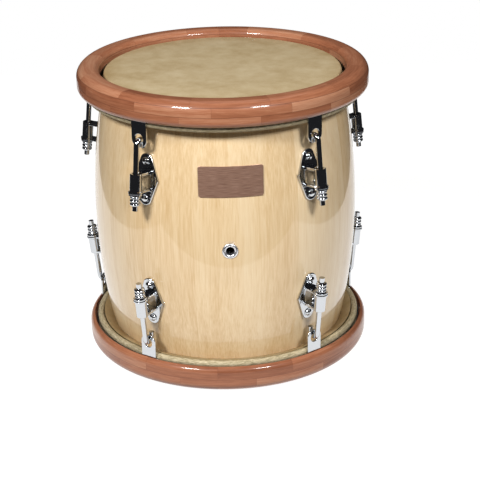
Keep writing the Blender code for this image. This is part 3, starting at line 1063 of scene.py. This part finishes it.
@dataclass(frozen=True)
class Lug:
    """One tension point: bracket, two bolts, hook rod and tuning nut."""

    sizes: DrumSizes
    palette: Palette
    end: End
    number: int
    azimuth: float
    plate_half: float = 16.6 * MM
    plate_thick: float = 3.0 * MM
    plate_edge: float = 0.9 * MM
    edge: float = 0.5 * MM
    end_r: float = 8.5 * MM
    tip_r: float = 1.2 * MM
    bolt_gap: float = 43.0 * MM
    dome_r: float = 5.2 * MM
    dome_sink: float = 1.6 * MM
    dome_end: float = 32.0
    dome_foot_r: float = 4.45 * MM
    washer_r: float = 5.4 * MM
    washer_top: float = 0.9 * MM
    washer_base: float = 0.1 * MM
    shank_r: float = 2.4 * MM
    shank: float = 14.0 * MM
    window_half: float = 6.6 * MM
    window_corner: float = 3.3 * MM
    rod_r: float = 3.2 * MM
    bore_clearance: float = 1.0 * MM
    bend_r: float = 6.0 * MM
    bend_lead: float = 1.0 * MM
    hook_tip: float = 4.0 * MM
    hook_centre_u: float = 117.81 * MM
    rod_tail: float = 6.0 * MM
    rod_out: float = 21.44 * MM
    sleeve_r: float = 6.8 * MM
    sleeve_half: float = 10.0 * MM
    flange_r: float = 8.3 * MM
    flange: float = 2.6 * MM
    web: float = 3.0 * MM
    web_root: float = 1.8 * MM
    web_neck: float = 5.0 * MM
    web_flare: float = 1.8 * MM
    web_narrow: float = 6.0 * MM
    nut_length: float = 14.0 * MM
    nut_flange_r: float = 7.8 * MM
    nut_flange: float = 2.0 * MM
    nut_edge: float = 0.4 * MM
    rib_r: float = 1.7 * MM
    rib_centre_r: float = 4.5 * MM
    ribs: int = 3

    @property
    def nut_top(self) -> float:
        """Height of the nut's bearing face in the lug's frame."""
        return -self.sleeve_half - self.flange - self.sizes.gap

    @property
    def on_rod(self) -> Matrix:
        """Shift from the lug's origin to the rod's line."""
        return Matrix.Translation((0, -self.rod_out, 0))

    def build(self) -> None:
        """Build the lug's pieces."""
        self.build_bracket()
        self.build_webs()
        self.build_sleeve()
        self.build_bolts()
        self.build_hook()
        self.build_nut()

    def label(self, piece: str) -> str:
        """Name one of the lug's pieces or nodes.

        Args:
            piece: What it is.

        Returns:
            The full name.
        """
        return f"{self.end.value}_{piece}_{self.number}"

    def fit(self, piece: Piece, body: str, node: str | None = None) -> None:
        """Put a piece that is drawn in the lug's frame in place.

        Args:
            piece: The piece.
            body: Body that it moves with.
            node: CAD node that it replaces.
        """
        piece.matrix_world = self.sizes.lug_place(self.azimuth, self.end)
        settle(piece, body, node)

    def plate_outline(self) -> Outline:
        """Give the side plate's outline, round at both bolts and pointed at both sides.

        Returns:
            Its (x, z) points.
        """
        centre = self.bolt_gap / 2
        reach = hypot(self.plate_half, centre)
        swing = asin(self.end_r / reach) + atan2(self.plate_half, centre)
        tangent = 90 - degrees(swing)
        top = arc((0, centre), self.end_r, tangent, 180 - tangent, steps=12)
        bottom = arc((0, -centre), self.end_r, 180 + tangent, 360 - tangent, steps=12)
        left = arc((-self.plate_half + self.tip_r, 0), self.tip_r, 150, 210, steps=4)
        right = arc((self.plate_half - self.tip_r, 0), self.tip_r, -30, 30, steps=4)
        return [*top, *left, *bottom, *right]

    def window_outline(self) -> Outline:
        """Give the outline of the window behind the sleeve.

        Returns:
            Its (x, z) points.
        """
        low = -self.sleeve_half + self.window_corner
        high = self.sleeve_half - self.web - self.window_corner
        side = self.window_half - self.window_corner
        outline = []
        for turn, centre in enumerate(((side, high), (-side, high), (-side, low), (side, low))):
            outline += arc(centre, self.window_corner, 90 * turn, 90 * turn + 90, steps=6)
        return outline

    def build_bracket(self) -> None:
        """Cut the side plate with its window."""
        name, window = self.label("side_plate"), self.window_outline()
        chrome = self.palette.chrome
        plate = cut_plate(name, self.plate_outline(), window, self.plate_thick, chrome)
        plate.data.transform(Matrix.Translation((0, -self.sizes.gap, 0)))
        round_edges(plate, self.plate_edge)
        self.fit(plate, DRUM, self.label("bracket"))

    def build_webs(self) -> None:
        """Join the plate to the sleeve with two flared webs."""
        root = -self.sizes.gap - self.web_root
        neck = root - self.web_neck
        waist, narrow = self.window_half, self.web_narrow
        wide = waist + self.web_flare
        outline = [
            (wide, root), (-wide, root), (-waist, neck), (-narrow, -self.rod_out),
            (narrow, -self.rod_out), (waist, neck),
        ]
        low = -self.sleeve_half
        spans = {
            "upper_web": (self.sleeve_half - self.web, self.sleeve_half),
            "lower_web": (low - self.flange, low),
        }
        for piece, (base, top) in spans.items():
            bm = bmesh.new()
            face = bm.faces.new([bm.verts.new((x, y, base)) for x, y in outline])
            extrude(bm, [face], (0, 0, top - base))
            web = link_mesh(self.label(piece), bm, self.palette.chrome)
            cut(web, self.rod_r + self.bore_clearance, 4 * self.sleeve_half, self.on_rod)
            round_edges(web, self.edge, segments=2)
            self.fit(web, DRUM)

    def build_sleeve(self) -> None:
        """Turn the sleeve with the flange at its outer end."""
        bore_r = self.rod_r + self.bore_clearance
        low = -self.sleeve_half
        foot = low - self.flange
        edge = self.edge
        outline = [
            (bore_r, foot), (self.flange_r - edge, foot), (self.flange_r, foot + edge),
            (self.flange_r, low - edge), (self.flange_r - edge, low), (self.sleeve_r + edge, low),
            (self.sleeve_r, low + edge), (self.sleeve_r, self.sleeve_half - edge),
            (self.sleeve_r - edge, self.sleeve_half), (bore_r, self.sleeve_half),
        ]
        sleeve = link_mesh(self.label("sleeve"), lathe(outline, steps=40), self.palette.chrome)
        sleeve.data.transform(self.on_rod)
        self.fit(sleeve, DRUM)

    def build_bolts(self) -> None:
        """Turn the domed bolts on their washers."""
        seat = self.sizes.gap + self.plate_thick
        dome = arc((0, -self.dome_sink), self.dome_r, 90, self.dome_end, steps=8)
        outline = [
            *dome, (self.dome_foot_r, self.washer_top), (self.washer_r, self.washer_top),
            (self.washer_r, self.washer_base), (self.shank_r, self.washer_base),
            (self.shank_r, -self.shank), (0, -self.shank),
        ]
        for letter, height in (("a", self.bolt_gap / 2), ("b", -self.bolt_gap / 2)):
            turned = lathe(outline, steps=32, closed=False)
            bolt = link_mesh(self.label("bolt_head") + letter, turned, self.palette.chrome)
            spot = Matrix.Translation((0, -seat, height))
            bolt.data.transform(spot @ Matrix.Rotation(pi / 2, 4, "X"))
            self.fit(bolt, DRUM, self.label("bolt") + letter)

    def build_hook(self) -> None:
        """Bend the rod from the claw's hole down to its tail."""
        s = self.sizes
        out = Vector((cos(s.lean), sin(s.lean)))
        up = Vector((-sin(s.lean), cos(s.lean)))
        flat = Vector((s.claw_mid_r - s.lug_face_r, self.hook_centre_u - s.lug_u))
        centre = (flat.dot(out), flat.dot(up))
        bend = arc(centre, self.bend_r, 0, 180 - degrees(s.lean), steps=20)
        tip = Vector(bend[-1]) - self.hook_tip * Vector((sin(s.lean), cos(s.lean)))
        tail = self.nut_top - self.nut_length - self.rod_tail
        lead = bend[0][1] - self.bend_lead
        path = [(self.rod_out, tail), (self.rod_out, lead), *bend, tuple(tip)]
        curve = bpy.data.curves.new(self.label("rod"), "CURVE")
        curve.dimensions = "3D"
        curve.bevel_depth = self.rod_r
        curve.bevel_resolution = 8
        curve.use_fill_caps = True
        curve.materials.append(self.palette.chrome)
        spline = curve.splines.new("POLY")
        spline.points.add(len(path) - 1)
        for point, (away, height) in zip(spline.points, path):
            point.co = (0, -away, height, 1)
        rod = bpy.data.objects.new(self.label("rod"), curve)
        bpy.context.scene.collection.objects.link(rod)
        self.fit(rod, self.end.rim(), self.label("hook"))

    def build_nut(self) -> None:
        """Turn the ribbed tuning nut."""
        bore = self.rod_r + self.bore_clearance / 2
        edge, flange_r = self.nut_edge, self.nut_flange_r
        outline = [
            (bore, 0), (flange_r - edge, 0), (flange_r, -edge), (flange_r, edge - self.nut_flange),
            (flange_r - edge, -self.nut_flange), (self.rib_centre_r, -self.nut_flange),
        ]
        pitch = (self.nut_length - self.nut_flange) / self.ribs
        for rib in range(self.ribs):
            centre = (self.rib_centre_r, -self.nut_flange - pitch * (rib + 0.5))
            outline += arc(centre, self.rib_r, 80, -80, steps=10)
        outline += [(self.rib_centre_r, -self.nut_length), (bore, -self.nut_length)]
        nut = link_mesh(self.label("ribbed_nut"), lathe(outline, steps=36), self.palette.chrome)
        nut.data.transform(Matrix.Translation((0, 0, self.nut_top)) @ self.on_rod)
        self.fit(nut, self.label("nut"), self.label("nut"))


@dataclass(frozen=True)
class Drum:
    """The whole drum."""

    sizes: DrumSizes
    palette: Palette

    def build(self) -> None:
        """Build every piece."""
        Shell(self.sizes, self.palette).build()
        FrontPlate(self.sizes, self.palette).build()
        for end in End:
            Head(self.sizes, self.palette, end).build()
            Rim(self.sizes, self.palette, end).build()
            for number, azimuth in enumerate(self.sizes.azimuths(), start=1):
                Lug(self.sizes, self.palette, end, number, azimuth).build()
            LOG.info("%s end built", end.value)


@dataclass(frozen=True)
class Lamp:
    """A square softbox that faces the drum."""

    name: str
    azimuth: float
    elevation: float
    distance: float
    size: float
    power: float

    def build(self) -> None:
        """Hang the lamp."""
        turn = radians(self.azimuth)
        rise = radians(self.elevation)
        ahead = self.distance * cos(rise)
        height = self.distance * sin(rise)
        spot = Vector((ahead * sin(turn), -ahead * cos(turn), height))
        data = bpy.data.lights.new(self.name, "AREA")
        data.size = self.size
        data.energy = self.power
        lamp = bpy.data.objects.new(self.name, data)
        bpy.context.scene.collection.objects.link(lamp)
        facing = (-spot).to_track_quat("-Z", "Y").to_matrix().to_4x4()
        lamp.matrix_world = Matrix.Translation(spot) @ facing


@dataclass(frozen=True)
class Camera:
    """Camera at the photograph's viewing angle."""

    distance: float = 1.6139
    height: float = 0.6198
    azimuth: float = -1.506
    yaw: float = 0.010491
    pitch: float = 0.39596
    roll: float = -0.017865
    focal_px: float = 1410.94
    frame_px: float = 480.0
    sensor_mm: float = 36.0

    def build(self) -> None:
        """Place the camera and make it the scene's."""
        turn = Matrix.Rotation(radians(self.azimuth), 3, "Z")
        level = Vector((sin(self.yaw), cos(self.yaw), 0)) * cos(self.pitch)
        forward = turn @ (level - Vector((0, 0, sin(self.pitch))))
        flat = forward.cross(Vector((0, 0, 1))).normalized()
        upright = flat.cross(forward)
        right = cos(self.roll) * flat + sin(self.roll) * upright
        up = cos(self.roll) * upright - sin(self.roll) * flat
        data = bpy.data.cameras.new("camera")
        data.sensor_width = self.sensor_mm
        data.lens = self.focal_px * self.sensor_mm / self.frame_px
        camera = bpy.data.objects.new("camera", data)
        bpy.context.scene.collection.objects.link(camera)
        spot = turn @ Vector((0, -self.distance, self.height))
        facing = Matrix((right, up, -forward)).transposed().to_4x4()
        camera.matrix_world = Matrix.Translation(spot) @ facing
        bpy.context.scene.camera = camera


@dataclass(frozen=True)
class Studio:
    """White floor in a dim room, lit by two lamps in front and one overhead."""

    sizes: DrumSizes
    floor_side: float = 0.6
    floor_front: float = 0.45
    floor_back: float = 1.2
    glow: float = 0.88
    sheet: str = "#9c9b99"
    room: str = "#262628"
    lamps: tuple[Lamp, ...] = (
        Lamp("left_lamp", -36.0, 38.0, 2.2, 0.42, 41.0),
        Lamp("right_lamp", 28.0, 38.0, 2.2, 0.42, 30.0),
        Lamp("overhead_lamp", 170.0, 72.0, 2.4, 1.6, 6.0),
    )

    def build(self) -> None:
        """Build the floor, the room, the lamps and the camera."""
        self.build_floor()
        self.build_room()
        for lamp in self.lamps:
            lamp.build()
        Camera().build()

    def build_floor(self) -> None:
        """Lay the sheet that the drum stands on: it glows to the eye and throws little light up."""
        paper = bpy.data.materials.new("backlit_white_paper")
        paper.use_nodes = True
        tree = paper.node_tree
        tree.nodes.clear()
        matt = add_node(tree, "BsdfDiffuse", {"Color": linear(self.sheet)}).outputs[0]
        light = {"Color": linear("#ffffff"), "Strength": self.glow}
        glow = add_node(tree, "Emission", light).outputs[0]
        bright = add_node(tree, "AddShader", {0: matt, 1: glow}).outputs[0]
        bounced = add_node(tree, "LightPath").outputs["Is Diffuse Ray"]
        mix = add_node(tree, "MixShader", {0: bounced, 1: bright, 2: matt}).outputs[0]
        add_node(tree, "OutputMaterial", {"Surface": mix})
        bm = bmesh.new()
        level = -self.sizes.half - self.sizes.gap
        side, front, back = self.floor_side, -self.floor_front, self.floor_back
        corners = [(-side, front), (side, front), (side, back), (-side, back)]
        bm.faces.new([bm.verts.new((x, y, level)) for x, y in corners])
        link_mesh("floor", bm, paper)

    def build_room(self) -> None:
        """Fill the surroundings: white to the eye, a dim grey as light."""
        world = bpy.data.worlds.new("room")
        bpy.context.scene.world = world
        world.use_nodes = True
        tree = world.node_tree
        tree.nodes.clear()
        dim = add_node(tree, "Background", {"Color": linear(self.room), "Strength": 1.0})
        seen = add_node(tree, "Background", {"Color": linear("#ffffff"), "Strength": 1.0})
        direct = add_node(tree, "LightPath").outputs["Is Camera Ray"]
        mix = add_node(tree, "MixShader", {0: direct, 1: dim.outputs[0], 2: seen.outputs[0]})
        add_node(tree, "OutputWorld", {"Surface": mix.outputs[0]})


def main() -> None:
    """Build the drum's looks and its studio."""
    logging.basicConfig(level=logging.INFO)
    sizes = DrumSizes()
    Drum(sizes, Palette.make()).build()
    Studio(sizes).build()
    bpy.context.scene.view_settings.view_transform = "Standard"


if __name__ == "__main__":
    main()
